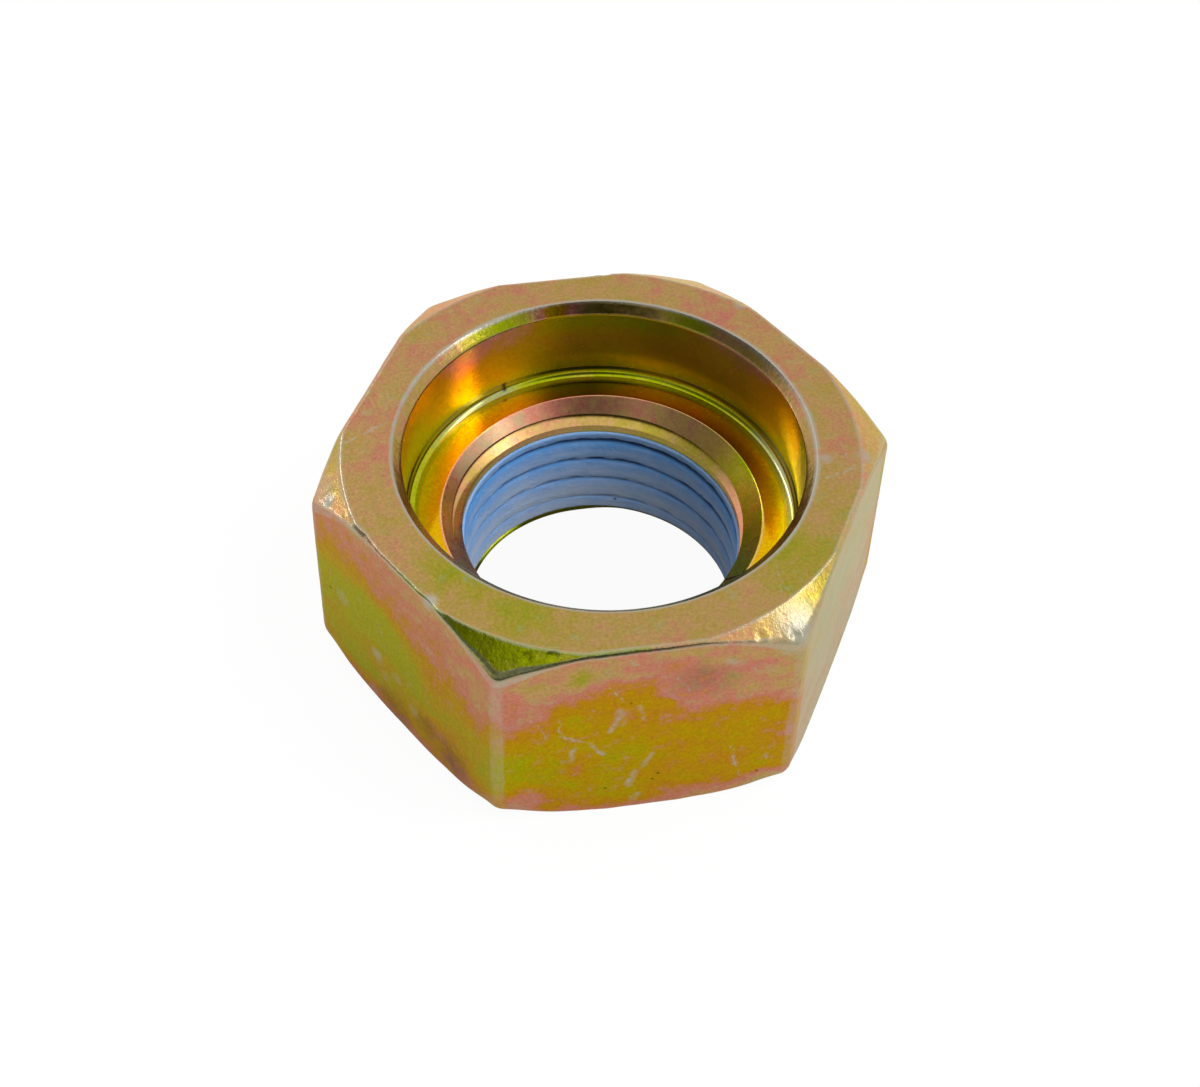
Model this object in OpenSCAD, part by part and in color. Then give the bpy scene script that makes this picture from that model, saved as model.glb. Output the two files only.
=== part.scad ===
// Hexagon nut with a deep counterbore, a countersunk thread and a locking coat fused over the thread.
// Sizes are in millimetres. The bearing face lies on Z = 0, the thread runs along Z and one flat faces -Y.
// The thread is kept as a plain bore at its crest diameter.

/* [Hexagon] */

// Width across the flats, for a 36 mm spanner
across_flats = 36; // [35:0.1:37]
// Height from the bearing face to the mouth face
nut_h = 17.6; // [17:0.1:20]
// Radius of the six upright corners
corner_r = 0.7; // [0.4:0.1:1.2]
// Diameter at which the mouth face ends and its corner chamfer begins
mouth_face_d = 36.4; // [35.1:0.1:37.5]
// Diameter at which the bearing face ends and its corner chamfer begins
bearing_face_d = 36.2; // [35.1:0.1:38.5]
// Slope of the corner chamfer round the mouth face, measured from that face
mouth_slope_angle = 35; // [20:1:40]
// Slope of the corner chamfer round the bearing face, measured from that face
bearing_slope_angle = 23; // [20:1:35]

/* [Counterbore] */

// Diameter of the turned wall
counterbore_d = 28.4; // [27:0.1:29.5]
// Depth of the floor below the mouth face
counterbore_depth = 6.8; // [5:0.1:7.5]
// Leg of the 45 degree chamfer round the mouth
mouth_chamfer = 0.7; // [0.3:0.1:1]
// Radius of the fillet between wall and floor
floor_fillet_r = 0.5; // [0.2:0.1:0.8]

/* [Thread] */

// Diameter over the thread crests in the steel, for a 22 mm thread of 2 mm pitch
thread_minor_d = 20.2; // [19.9:0.05:20.4]
// Diameter at which the countersink meets the counterbore floor
countersink_d = 23.1; // [22.2:0.1:25]
// Leg of the 45 degree chamfer where the thread leaves the bearing face
exit_chamfer = 0.1; // [0.1:0.05:0.8]

/* [Locking coat] */

// Thickness of the coat over the crests
coat_t = 0.15; // [0.1:0.05:0.3]
// Bare steel between the countersink and the coat
bare_top = 0.2; // [0.1:0.1:1]
// Bare steel between the coat and the exit chamfer
bare_bottom = 0.1; // [0.1:0.1:1]

/* [Hidden] */

$fn = 96;
apothem = across_flats / 2;
corner_centre = (apothem - corner_r) / cos(30);
corner_reach = corner_centre + corner_r;
blank_r = corner_reach + 1;
mouth_r = mouth_face_d / 2;
bearing_r = bearing_face_d / 2;
mouth_drop = (blank_r - mouth_r) * tan(mouth_slope_angle);
bearing_rise = (blank_r - bearing_r) * tan(bearing_slope_angle);
wall_r = counterbore_d / 2;
floor_z = nut_h - counterbore_depth;
crest_r = thread_minor_d / 2;
countersink_r = countersink_d / 2;
countersink_end_z = floor_z - (countersink_r - crest_r);
coat_top_z = countersink_end_z - bare_top;
coat_bottom_z = exit_chamfer + bare_bottom;
over = 1;

module hexagon_outline() {
    union() {
        polygon([
            for (k = [0:5])
                for (side = [-30, 30])
                    [corner_centre * cos(60 * k) + corner_r * cos(60 * k + side),
                     corner_centre * sin(60 * k) + corner_r * sin(60 * k + side)]
        ]);
        for (k = [0:5])
            translate([corner_centre * cos(60 * k), corner_centre * sin(60 * k)])
                circle(r = corner_r);
    }
}

module turned_blank() {
    rotate_extrude()
        polygon([
            [0, 0],
            [bearing_r, 0],
            [blank_r, bearing_rise],
            [blank_r, nut_h - mouth_drop],
            [mouth_r, nut_h],
            [0, nut_h]
        ]);
}

module counterbore_cut() {
    rotate_extrude()
        difference() {
            polygon([
                [0, floor_z],
                [wall_r, floor_z],
                [wall_r, nut_h - mouth_chamfer],
                [wall_r + mouth_chamfer + over, nut_h + over],
                [0, nut_h + over]
            ]);
            difference() {
                translate([wall_r - floor_fillet_r, floor_z - over])
                    square([floor_fillet_r + over, floor_fillet_r + over]);
                translate([wall_r - floor_fillet_r, floor_z + floor_fillet_r])
                    circle(r = floor_fillet_r);
            }
        }
}

module thread_cut() {
    rotate_extrude()
        polygon([
            [0, -over],
            [crest_r + exit_chamfer + over, -over],
            [crest_r, exit_chamfer],
            [crest_r, countersink_end_z],
            [countersink_r + over, floor_z + over],
            [0, floor_z + over]
        ]);
}

module nut_body() {
    color([0.66, 0.54, 0.27])
        difference() {
            intersection() {
                linear_extrude(height = nut_h)
                    hexagon_outline();
                turned_blank();
            }
            counterbore_cut();
            thread_cut();
        }
}

module thread_coat() {
    color([0.40, 0.52, 0.74])
        translate([0, 0, coat_bottom_z])
            difference() {
                cylinder(h = coat_top_z - coat_bottom_z, r = crest_r);
                translate([0, 0, -over])
                    cylinder(h = coat_top_z - coat_bottom_z + 2 * over, r = crest_r - coat_t);
            }
}

nut_body();
thread_coat();
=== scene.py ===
import math
from functools import partial

import bmesh
import bpy
import numpy as np
from bpy.props import FloatProperty, FloatVectorProperty, PointerProperty
from mathutils import Matrix, Quaternion, Vector, noise


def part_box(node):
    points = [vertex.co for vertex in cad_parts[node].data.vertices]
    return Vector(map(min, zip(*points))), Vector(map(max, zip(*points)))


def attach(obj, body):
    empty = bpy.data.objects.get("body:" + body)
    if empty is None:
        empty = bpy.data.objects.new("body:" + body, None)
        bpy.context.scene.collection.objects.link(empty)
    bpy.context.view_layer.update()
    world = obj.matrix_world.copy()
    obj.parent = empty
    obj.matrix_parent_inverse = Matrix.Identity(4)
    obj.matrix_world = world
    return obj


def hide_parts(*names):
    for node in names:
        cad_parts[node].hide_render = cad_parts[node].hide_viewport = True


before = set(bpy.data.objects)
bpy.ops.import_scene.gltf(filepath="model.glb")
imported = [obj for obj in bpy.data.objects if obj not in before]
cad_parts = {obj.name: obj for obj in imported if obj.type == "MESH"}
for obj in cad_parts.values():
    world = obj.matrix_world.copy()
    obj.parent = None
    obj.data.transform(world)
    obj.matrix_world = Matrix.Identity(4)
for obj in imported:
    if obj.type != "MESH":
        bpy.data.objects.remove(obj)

bl_info = {
    "name": "Counterbored Nut",
    "version": (1, 0, 0),
    "blender": (4, 5, 0),
    "location": "3D View > Sidebar > Nut",
    "description": "Builds a zinc plated hexagon nut with a counterbore and a locking coat on its thread",
    "category": "Add Mesh",
}

MM = 0.001
NUT_LOW, NUT_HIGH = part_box("nut_body")
COAT_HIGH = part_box("thread_coat")[1]
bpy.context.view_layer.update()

# The photograph's width and the camera that was fitted to the nut's edges in it
PHOTO_WIDTH_PX = 1200
CAMERA_FOCAL_PX = 2276.4
CAMERA_PLACE = (-21.585 * MM, -107.274 * MM, 133.344 * MM)
CAMERA_RIGHT = (0.98538, -0.16856, 0.02464)
CAMERA_UP = (0.11139, 0.74699, 0.65544)

# Where the turned forms sit against the hexagon: the nut was chucked a little off centre
HEXAGON_SHIFT = (0.0, -0.15 * MM)
BORE_SHIFT = (0.0, 0.15 * MM)
CHAMFER_SHIFT = (-0.23 * MM, -0.07 * MM)

# Slope of the chamfer round the mouth face at each corner, from +X on: the blank was faced a little askew
CORNER_SLOPES_DEG = (38.0, 34.0, 34.0, 43.0, 33.0, 28.0)
# Slope of the chamfer round the bearing face
BOTTOM_SLOPE_DEG = 23.0

# The tap starts in the countersink at this angle and runs down as the angle falls
THREAD_START_DEG = 185.0
# The first turn grows shallow between these angles from its start
THREAD_FADE_DEG = (230.0, 300.0)
# Each flank of the 60 degree thread stands 30 degrees off square to the axis
FLANK_SLOPE = math.tan(math.radians(30.0))

# The coat's upper edge winds down with the thread: mean depth and swing in millimetres, and its turn
COAT_TOP_MEAN = 9.07
COAT_TOP_SWING = 0.32
COAT_TOP_TURN = math.radians(20.0)
# Share of the coat's grid that lines the thread; the rest runs back up behind it
INNER_SHARE = 0.9
# Where the coat ends above the bearing face, and how deep and how long its lip at each end is, in millimetres
COAT_END = 0.22
LIP_DEPTH = 0.22
LIP_LENGTH = 0.06


def from_hex(code):
    """A colour written as sRGB hex, as the linear values that Blender works in."""
    channels = [int(code[k:k + 2], 16) / 255 for k in (1, 3, 5)]
    return tuple(c / 12.92 if c <= 0.04045 else ((c + 0.055) / 1.055) ** 2.4 for c in channels)


def length_property(name, description, default):
    """A length in metres that the panel shows in the scene's own unit."""
    return FloatProperty(name=name, description=description, default=default, min=0.0, precision=5,
                         subtype="DISTANCE", unit="LENGTH")


def colour_property(name, description, code):
    """A colour for the panel, from its sRGB hex code."""
    return FloatVectorProperty(name=name, description=description, default=from_hex(code), size=3,
                               min=0.0, max=1.0, subtype="COLOR")


class NutSizes(bpy.types.PropertyGroup):
    """Real sizes of the nut and its coat."""

    across_flats: length_property("Across flats", "Width of the hexagon", NUT_HIGH.y - NUT_LOW.y)
    height: length_property("Height", "From the bearing face to the mouth face", NUT_HIGH.z - NUT_LOW.z)
    corner_radius: length_property("Corner radius", "Radius of the six upright corners", 0.9 * MM)
    mouth_face_radius: length_property("Mouth face radius", "Where the mouth face ends", 18.24 * MM)
    bearing_face_radius: length_property("Bearing face radius", "Where the bearing face ends", 18.1 * MM)
    counterbore_radius: length_property("Counterbore radius", "Radius of the turned wall", 14.2 * MM)
    counterbore_depth: length_property("Counterbore depth", "Depth of the floor at the wall", 6.88 * MM)
    mouth_chamfer: length_property("Mouth chamfer", "Leg of the chamfer round the mouth", 0.7 * MM)
    floor_fillet: length_property("Floor fillet", "Reach of the fillet between wall and floor", 0.5 * MM)
    countersink_radius: length_property("Countersink radius", "Rim of the countersink", 11.58 * MM)
    countersink_depth: length_property("Countersink depth", "Rim's depth below the mouth face", 6.63 * MM)
    crest_radius: length_property("Crest radius", "Radius over the thread crests in the steel", 10.1 * MM)
    root_radius: length_property("Root radius", "Radius at the bottom of the thread grooves", 10.84 * MM)
    pitch: length_property("Pitch", "Distance between thread turns", 2.0 * MM)
    coat_radius: length_property("Coat radius", "Radius over the coated crests", COAT_HIGH.x - 0.15 * MM)
    coat_pitch: length_property("Coat pitch", "Distance between the coat's groove lines", 2.08 * MM)
    coat_valley: length_property("Coat valley", "Depth of the groove lines in the coat", 0.32 * MM)


class NutColours(bpy.types.PropertyGroup):
    """Colours of the passivated zinc, from the thinnest film to the thickest, and of the coat."""

    olive_yellow: colour_property("Olive yellow", "Thinnest passivation film", "#979400")
    gold: colour_property("Gold", "Thin passivation film", "#AA8700")
    orange: colour_property("Orange", "Film between gold and pink", "#AE7A10")
    pink: colour_property("Pink", "Middling passivation film", "#B87262")
    tan: colour_property("Tan", "Thick passivation film", "#AF8C58")
    olive_tan: colour_property("Olive tan", "Thicker passivation film", "#A08E38")
    green: colour_property("Green", "Thickest passivation film", "#869008")
    # Also laid on as painted highlight on the fillet and the countersink, and as painted reflection on the
    # right flat
    zinc_wear_and_highlight: colour_property("Worn zinc", "Grey zinc where edges and dents are rubbed", "#A8A498")
    # Also laid on as painted shade: dark reflections in the bore and on the mouth chamfer, and the root's
    # shadow
    dirt_and_shade: colour_property("Grime", "Dirt in nicks and along edges", "#2A2008")
    coat_blue: colour_property("Coat blue", "Locking coat below each groove line", "#5A9CE4")
    coat_pale: colour_property("Coat pale", "Rubbed powder on the coated crests", "#C0CEE4")
    # Navy laid in the coat's groove lines as painted shade
    coat_groove_shade: colour_property("Coat navy", "Shaded powder in the groove lines", "#12305E")


def smooth_step(low, high, value):
    """Rises from 0 at low to 1 at high with level ends."""
    t = np.clip((value - low) / (high - low), 0.0, 1.0)
    return t * t * (3.0 - 2.0 * t)


def ring_angles():
    """Angles round the nut, crowded where the hexagon turns its corners."""
    at_corner = np.linspace(-1.5, 1.5, 13)
    along_flat = np.linspace(1.5, 58.5, 86)[1:-1]
    one_side = np.concatenate([at_corner, along_flat])
    return np.radians(np.concatenate([one_side + 60.0 * k for k in range(6)]))


def hexagon_reach(angles, across_flats, corner_radius):
    """Distance from the hexagon's centre to its rounded outline, and the angle past the nearest rounding."""
    from_corner = (angles + math.pi / 6) % (math.pi / 3) - math.pi / 6
    centre = (across_flats / 2 - corner_radius) / math.cos(math.pi / 6)
    turn = math.atan2(corner_radius * 0.5, centre + corner_radius * math.cos(math.pi / 6))
    flat = across_flats / 2 / np.cos(math.pi / 6 - np.abs(from_corner))
    inside = np.maximum(corner_radius ** 2 - (centre * np.sin(from_corner)) ** 2, 0.0)
    arc = centre * np.cos(from_corner) + np.sqrt(inside)
    return np.where(np.abs(from_corner) < turn, arc, flat), np.abs(from_corner) - turn


def circle_reach(angles, radius, shift):
    """Distance from the origin to a circle whose centre is shifted."""
    along = shift[0] * np.cos(angles) + shift[1] * np.sin(angles)
    return along + np.sqrt(radius ** 2 - (shift[0] ** 2 + shift[1] ** 2) + along ** 2)


def coat_top_depth(angles):
    """Depth of the coat's upper edge below the mouth face, as it winds round the bore."""
    return (COAT_TOP_MEAN + COAT_TOP_SWING * np.cos(angles + COAT_TOP_TURN)) * MM


def first_turn(sizes, angles):
    """The first thread groove, which breaks out of the countersink, as four corners, each depths and radii.
    Also the radius of the surface that it is cut into at any depth, and the depth where the cone ends."""
    rim_sum = sizes.countersink_radius + sizes.countersink_depth
    wound = (THREAD_START_DEG - np.degrees(angles)) % 360.0
    strength = 1.0 - smooth_step(THREAD_FADE_DEG[0], THREAD_FADE_DEG[1], wound)
    half_root = 0.1 * MM * strength
    root = sizes.crest_radius + (sizes.root_radius - sizes.crest_radius) * strength
    flank = (root - sizes.crest_radius) * FLANK_SLOPE
    start = rim_sum - sizes.root_radius
    middle = start - 0.1 * MM + sizes.pitch * wound / 360.0
    back = smooth_step(THREAD_FADE_DEG[1], 360.0, wound)
    middle = middle * (1.0 - back) + start * back

    def envelope(depth):
        return np.maximum(rim_sum - depth, sizes.crest_radius)

    upper = middle - half_root
    lower = middle + half_root
    touch = rim_sum - root
    upper_crest = upper - flank
    lower_crest = lower + flank
    upper_cone = (upper - (root - rim_sum) * FLANK_SLOPE) / (1.0 + FLANK_SLOPE)
    lower_cone = (lower + (root - rim_sum) * FLANK_SLOPE) / (1.0 - FLANK_SLOPE)
    cone_end = rim_sum - sizes.crest_radius
    bare = lower <= touch + 1e-9
    first = np.where(upper_crest > cone_end, upper_crest, np.where(upper > touch, upper_cone, touch))
    first = np.where(strength <= 0.0, middle, first)
    first = np.where(bare & (strength > 0.0), touch, first)
    last = np.where(lower_crest > cone_end, lower_crest, lower_cone)
    last = np.where(bare | (strength <= 0.0), first, last)
    upper = np.where((upper > touch) & (strength > 0.0), upper, first)
    lower = np.where((lower > touch) & (strength > 0.0), lower, first)
    upper_radius = np.where(upper == first, envelope(upper), root)
    lower_radius = np.where(lower == first, envelope(lower), root)
    corners = [(first, envelope(first)), (upper, upper_radius), (lower, lower_radius), (last, envelope(last))]
    return corners, envelope, cone_end


def nut_corners(sizes, angles):
    """Corners of the nut's section in each direction, from the exit up the outside and down the bore."""
    cosine, sine = np.cos(angles), np.sin(angles)
    bottom_slope = math.tan(math.radians(BOTTOM_SLOPE_DEG))
    round_once = np.radians(60.0 * np.arange(7))
    slope = np.tan(np.radians(np.interp(angles % (2 * math.pi), round_once,
                                        CORNER_SLOPES_DEG + CORNER_SLOPES_DEG[:1])))
    high = sizes.height
    outline, from_corner = hexagon_reach(angles, sizes.across_flats, sizes.corner_radius)
    near_corner = np.exp(-(np.maximum(from_corner, 0.0) * outline / (1.9 * MM)) ** 2)[:, None]
    local_shift = (CHAMFER_SHIFT[0] - HEXAGON_SHIFT[0], CHAMFER_SHIFT[1] - HEXAGON_SHIFT[1])
    degrees = np.degrees(angles) % 360.0
    worn_down = smooth_step(196.0, 204.0, degrees) - smooth_step(228.0, 238.0, degrees)
    strip = (0.3 - 0.17 * worn_down) * MM
    mouth = np.minimum(circle_reach(angles, sizes.mouth_face_radius, local_shift), outline - strip)
    bearing = np.minimum(sizes.bearing_face_radius, outline - 0.07 * MM)

    def outer(radius, height):
        return np.stack([HEXAGON_SHIFT[0] + radius * cosine, HEXAGON_SHIFT[1] + radius * sine,
                         height + 0 * radius], axis=1)

    def inner(radius, depth):
        radius = radius + 0 * angles
        depth = depth + 0 * angles
        across, along = BORE_SHIFT[0] + radius * cosine, BORE_SHIFT[1] + radius * sine
        return np.stack([across, along, high - depth], axis=1)

    groove, envelope, cone_end = first_turn(sizes, angles)
    lip = (10.06 - 0.24 * smooth_step(68.0, 92.0, np.degrees(angles) % 360.0)
           * (1.0 - smooth_step(150.0, 200.0, np.degrees(angles) % 360.0))) * MM
    cut = np.maximum(coat_top_depth(angles) + 0.12 * MM, groove[3][0] + 0.05 * MM)
    above = np.clip(cone_end, sizes.countersink_depth, groove[0][0])
    below = np.clip(cone_end, groove[3][0], cut)
    behind = 10.42 * MM
    # Each corner: name, points, reach of its rounding in millimetres, rows in the rounding and in its run
    stops = [
        ("exit", inner(lip + 0.1 * MM, high), 0.05, 2, 9),
        ("bearing rim", outer(bearing, 0.0), 0.16, 4, 2),
        ("bottom edge", outer(outline, (outline - bearing) * bottom_slope), 0.12 + 1.1 * near_corner, 6, 33),
        ("top edge", outer(outline, high - (outline - mouth) * slope), 0.2 + 0.5 * near_corner, 6, 5),
        ("mouth rim", outer(mouth, high), 0.12, 5, 12),
        ("mouth edge", inner(sizes.counterbore_radius + sizes.mouth_chamfer, 0.0), 0.08, 4, 2),
        ("wall top", inner(sizes.counterbore_radius, sizes.mouth_chamfer), 0.07, 3, 10),
        ("fillet", inner(sizes.counterbore_radius - 0.07 * MM, sizes.counterbore_depth), 0.85, 8, 5),
        ("countersink rim", inner(sizes.countersink_radius, sizes.countersink_depth), 0.05, 4, 5),
        ("cone end above", inner(envelope(above), above), 0.06, 3, 1),
        ("ridge", inner(groove[0][1], groove[0][0]), 0.1, 5, 1),
        ("root top", inner(groove[1][1], groove[1][0]), 0.05, 3, 0),
        ("root bottom", inner(groove[2][1], groove[2][0]), 0.05, 3, 3),
        ("groove edge", inner(groove[3][1], groove[3][0]), 0.06, 4, 1),
        ("cone end below", inner(envelope(below), below), 0.06, 3, 1),
        ("under coat", inner(envelope(cut), cut), 0.03, 2, 0),
        ("behind coat top", inner(behind, cut + 0.2 * MM), 0.03, 1, 3),
        ("behind coat end", inner(behind, high - 0.45 * MM), 0.03, 1, 0),
        ("lip top", inner(lip + 0.03 * MM, high - 0.34 * MM), 0.06, 3, 1),
        ("lip edge", inner(lip, high - 0.1 * MM), 0.05, 3, 1),
    ]
    return stops, from_corner, outline


def profile_rows(stops):
    """Rounds the section's corners and fills the runs between. Gives the rows and where each one lies: on the
    run after a corner, the corner's number; in its rounding, a half or a quarter less, and 1.0 with it."""
    points = [stop[1] for stop in stops]
    count = len(points)
    arcs = []
    for k, (_, here, reach, arc_count, _) in enumerate(stops):
        back = points[k - 1] - here
        ahead = points[(k + 1) % count] - here
        back_length = np.linalg.norm(back, axis=1, keepdims=True)
        ahead_length = np.linalg.norm(ahead, axis=1, keepdims=True)
        first = here + back / np.maximum(back_length, 1e-12) * np.minimum(reach * MM, 0.45 * back_length)
        last = here + ahead / np.maximum(ahead_length, 1e-12) * np.minimum(reach * MM, 0.45 * ahead_length)
        if arc_count == 1:
            arcs.append([here])
        else:
            steps = np.linspace(0.0, 1.0, arc_count)
            arcs.append([first * (1 - t) ** 2 + here * 2 * t * (1 - t) + last * t * t for t in steps])
    rows, places = [], []
    for k, (*_, arc_count, run_count) in enumerate(stops):
        for step, row in enumerate(arcs[k]):
            rows.append(row)
            places.append((k - 0.5 if step < arc_count / 2 else k - 0.25, 1.0))
        start, end = arcs[k][-1], arcs[(k + 1) % count][0]
        for step in range(1, run_count + 1):
            t = (1.0 - math.cos(math.pi * step / (run_count + 1))) / 2
            rows.append(start * (1 - t) + end * t)
            places.append((k, 0.0))
    return np.array(rows), places


# Height of the mouth face and place of the front flat, where most of the marks lie, in millimetres
MOUTH_Z = 17.6
FRONT_Y = -18.1

# Dents that the photograph shows on the edges and flats: place, radius and depth in millimetres
DENTS = (
    ((-19.6, -1.3, 16.9), 0.6, 0.1), ((-17.4, -5.6, 17.4), 0.3, 0.05), ((-16.4, -7.1, 17.4), 0.35, 0.07),
    ((-15.2, -9.4, 17.4), 0.32, 0.06), ((-13.9, -12.0, 17.3), 0.9, 0.12), ((-8.1, -17.3, 17.2), 0.45, 0.08),
    ((-6.4, -17.5, 17.4), 0.4, 0.08), ((7.3, -17.7, 17.0), 0.4, 0.1), ((9.7, -17.6, 16.5), 0.45, 0.12),
    ((0.7, -18.1, 5.6), 0.5, 0.05), ((-0.8, -18.1, 3.4), 0.6, 0.06), ((-1.9, -18.1, 10.4), 0.8, 0.05),
    ((-4.9, -18.1, 7.6), 0.7, 0.05), ((-17.0, -6.7, 6.4), 0.9, 0.06), ((12.4, 12.9, 17.4), 0.6, 0.1),
    ((19.9, 4.2, 16.6), 0.6, 0.12), ((3.1, 17.9, 17.3), 0.5, 0.1), ((-18.6, -3.3, 17.4), 0.28, 0.06),
    ((-12.9, -13.4, 17.4), 0.3, 0.07), ((-9.4, 16.6, 0.7), 0.6, 0.12), ((18.1, -7.3, 0.5), 0.6, 0.12),
    ((-19.2, 3.2, 0.6), 0.5, 0.1),
)

# Film up the flats, from the bearing face: height in millimetres and place in the film colours
FLAT_FILM = ((0.0, 0.56), (0.8, 0.44), (1.8, 0.27), (3.0, 0.13), (5.0, 0.08), (8.0, 0.09), (10.2, 0.21),
             (11.4, 0.36), (12.4, 0.45), (14.2, 0.5), (16.0, 0.54), (17.6, 0.6))
# Film on the chamfer at each corner, from +X on
CHAMFER_FILM = (0.56, 0.62, 0.54, 0.64, 0.93, 0.63)

# The tables below run once round the nut: angle in degrees from +X, and a value
# How far the film's bands lie off their height on the hidden flats, in millimetres
FILM_SWAY = ((0, 0.0), (12, 1.8), (52, -0.9), (64, 1.3), (96, -0.4), (112, -1.9), (128, 0.8), (166, -1.4),
             (180, 0.0), (360, 0.0))
# Film on the mouth chamfer, the floor, the countersink above the first turn, its root and its lower flank
MOUTH_FILM = ((0, 0.66), (14, 0.64), (44, 0.66), (50, 0.92), (58, 0.95), (64, 0.72), (84, 0.8), (96, 0.2),
              (105, 0.98), (120, 0.9), (130, 0.68), (150, 0.68), (168, 0.74), (186, 0.7), (204, 0.62),
              (230, 0.66), (300, 0.9), (312, 0.6), (324, 0.7), (360, 0.66))
FLOOR_FILM = ((0, 0.0), (30, 0.06), (45, 0.16), (66, 0.12), (84, -0.24), (96, -0.16), (112, 0.06), (140, 0.0),
              (180, -0.04), (360, 0.0))
RING_FILM = ((0, 0.9), (14, 0.98), (24, 0.92), (38, 0.66), (60, 0.6), (86, 0.58), (100, 0.58), (112, 0.61),
             (150, 0.61), (166, 0.62), (186, 0.6), (210, 0.5), (235, 0.3), (300, 0.28), (318, 0.28),
             (321, 0.88), (360, 0.9))
ROOT_FILM = ((0, 0.9), (40, 0.92), (60, 0.8), (90, 0.72), (120, 0.68), (180, 0.3), (360, 0.9))
LOWER_FILM = ((0, 0.5), (8, 0.62), (16, 0.66), (30, 0.82), (60, 0.8), (75, 0.74), (92, 0.7), (104, 0.68),
              (125, 0.66), (180, 0.6), (230, 0.5), (300, 0.3), (318, 0.3), (322, 0.6), (360, 0.5))
# Darkening along the flats' top edge, on the mouth chamfer, in the first turn's root and at the thread's exit
# Along the top edge it is partly dirt and partly a painted dark reflection of the rounded edge
TOP_EDGE_DIRT_AND_SHADE = ((0, 0.0), (232, 0.0), (237, 0.7), (240, 0.95), (272, 1.0), (284, 0.6), (292, 0.1),
                  (296, 0.0), (360, 0.0))
# On the mouth chamfer at the back it is a painted dark reflection
MOUTH_PAINTED_SHADE = ((0, 0.0), (60, 0.0), (66, 0.78), (86, 0.8), (93, 0.0), (360, 0.0))
# In the first turn's root it is painted shade, where the groove's crevice lies in shadow
ROOT_PAINTED_SHADE = ((0, 0.4), (40, 0.95), (56, 1.2), (98, 1.2), (112, 0.8), (156, 0.6), (185, 0.3), (250, 0.2),
              (360, 0.4))
EXIT_DARKENING = ((0, 1.3), (112, 1.3), (124, 0.3), (140, 0.1), (150, 1.2), (360, 1.3))
# Painted shade on the counterbore's wall for its dark reflections, and darkening of the floor towards the
# back
WALL_PAINTED_SHADE = ((0, 0.24), (14, 0.48), (30, 0.62), (50, 0.84), (62, 0.9), (90, 0.7), (104, 0.2), (114, 0.0),
              (310, 0.0), (360, 0.3))
FLOOR_BROWN = ((0, 0.0), (20, 0.06), (60, 0.26), (84, 0.82), (98, 0.62), (108, 0.0), (360, 0.0))
# Nicks that cross the fillet and the countersink
FILLET_TICK = ((0, 0.0), (111.0, 0.0), (111.6, 1.0), (112.2, 1.0), (112.9, 0.0), (360, 0.0))
RING_TICK = ((0, 0.0), (318.0, 0.0), (318.8, 1.3), (319.8, 1.3), (320.6, 0.0), (360, 0.0))
# How far the fillet is painted pale as a highlight, where the lamps' highlights fall on it
FILLET_PAINTED_HIGHLIGHT = ((0, 0.78), (22, 0.62), (32, 0.2), (100, 0.1), (112, 0.62), (132, 0.66), (150, 0.3),
                 (180, 0.0), (330, 0.0), (360, 0.9))
# Rub on the countersink, partly a painted highlight at the back-left, where the lamp's highlight falls
RING_RUB_AND_HIGHLIGHT = ((0, 0.0), (96, 0.1), (112, 0.56), (150, 0.6), (176, 0.1), (360, 0.0))
# Rub over the right flat, partly a painted reflection of the bright floor that it sees at a grazing angle
FLAT_RUB_AND_REFLECTION = ((0, 0.0), (301.5, 0.0), (304, 0.84), (330, 0.88), (356, 0.8), (359, 0.0), (360, 0.0))
# How wide the mouth face's rim, the mouth's edge and the other edges are rubbed, in millimetres
# The wider bands on the rim at the left and on the mouth's edge at the right and back-left are partly painted
# highlights
RIM_RUB_AND_HIGHLIGHT = ((0, 0.14), (30, 0.12), (60, 0.1), (166, 0.1), (174, 0.26), (198, 0.26), (206, 0.12), (330, 0.12),
           (360, 0.14))
MOUTH_RUB_AND_HIGHLIGHT = ((0, 0.26), (30, 0.26), (46, 0.2), (56, 0.1), (100, 0.1), (112, 0.2), (135, 0.22), (160, 0.12),
             (230, 0.1), (290, 0.12), (320, 0.22), (360, 0.26))
EVEN_RUB = ((0, 0.1), (360, 0.1))

# How strongly each edge of the section is rubbed
EDGE_WEAR = {"bearing rim": 0.5, "bottom edge": 0.5, "top edge": 0.66, "mouth rim": 0.64, "mouth edge": 1.0,
             "wall top": 0.4}
# Rings of the section that are painted by a table: first and last place, what is painted, and the table
# The mouth chamfer's table lays a painted dark reflection, the fillet's a painted highlight, the
# countersink's partly one
RING_PAINT = (
    (5.0, 5.5, "dirt_and_shade", MOUTH_PAINTED_SHADE), (6.5, 6.75, "edge", FILLET_PAINTED_HIGHLIGHT), (6.5, 6.5, "dirt_and_shade", FILLET_TICK),
    (7.0, 7.0, "dirt_and_shade", FLOOR_BROWN), (8.0, 9.75, "edge", RING_RUB_AND_HIGHLIGHT), (8.0, 14.5, "dirt_and_shade", RING_TICK),
    (-0.5, 0.75, "dirt_and_shade", EXIT_DARKENING), (17.0, 19.0, "dirt_and_shade", EXIT_DARKENING),
)
# The finish that each part of the section has: the place where it ends, and the finish's number
FINISH_ENDS = ((2.7, 0), (3.7, 1), (4.7, 2), (5.7, 6), (6.3, 3), (6.9, 5), (7.7, 7), (20.0, 4))

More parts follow.
